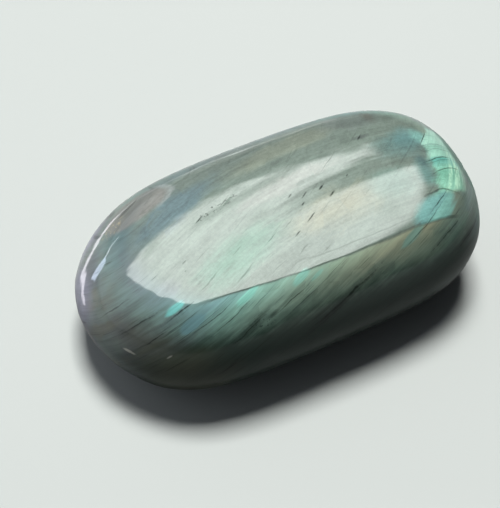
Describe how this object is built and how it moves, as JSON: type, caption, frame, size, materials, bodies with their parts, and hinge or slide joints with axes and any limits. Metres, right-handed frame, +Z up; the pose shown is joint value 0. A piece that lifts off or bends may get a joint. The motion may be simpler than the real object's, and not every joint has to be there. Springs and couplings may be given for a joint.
{
  "type": "polished labradorite palm stone",
  "caption": "Long rounded freeform stone, hand ground into broad soft faces and polished, with a small flat base.",
  "frame": {"origin": "under the middle of the stone, on the surface that it lies on", "axes": "+X along the stone towards its blunter end, +Y across it towards its back, +Z up"},
  "size_m": [0.056, 0.03, 0.022],
  "materials": {
    "labradorite": "polished, dark grey-green with teal flashes"
  },
  "bodies": {
    "root": {"stone": "labradorite"}
  },
  "joints": []
}
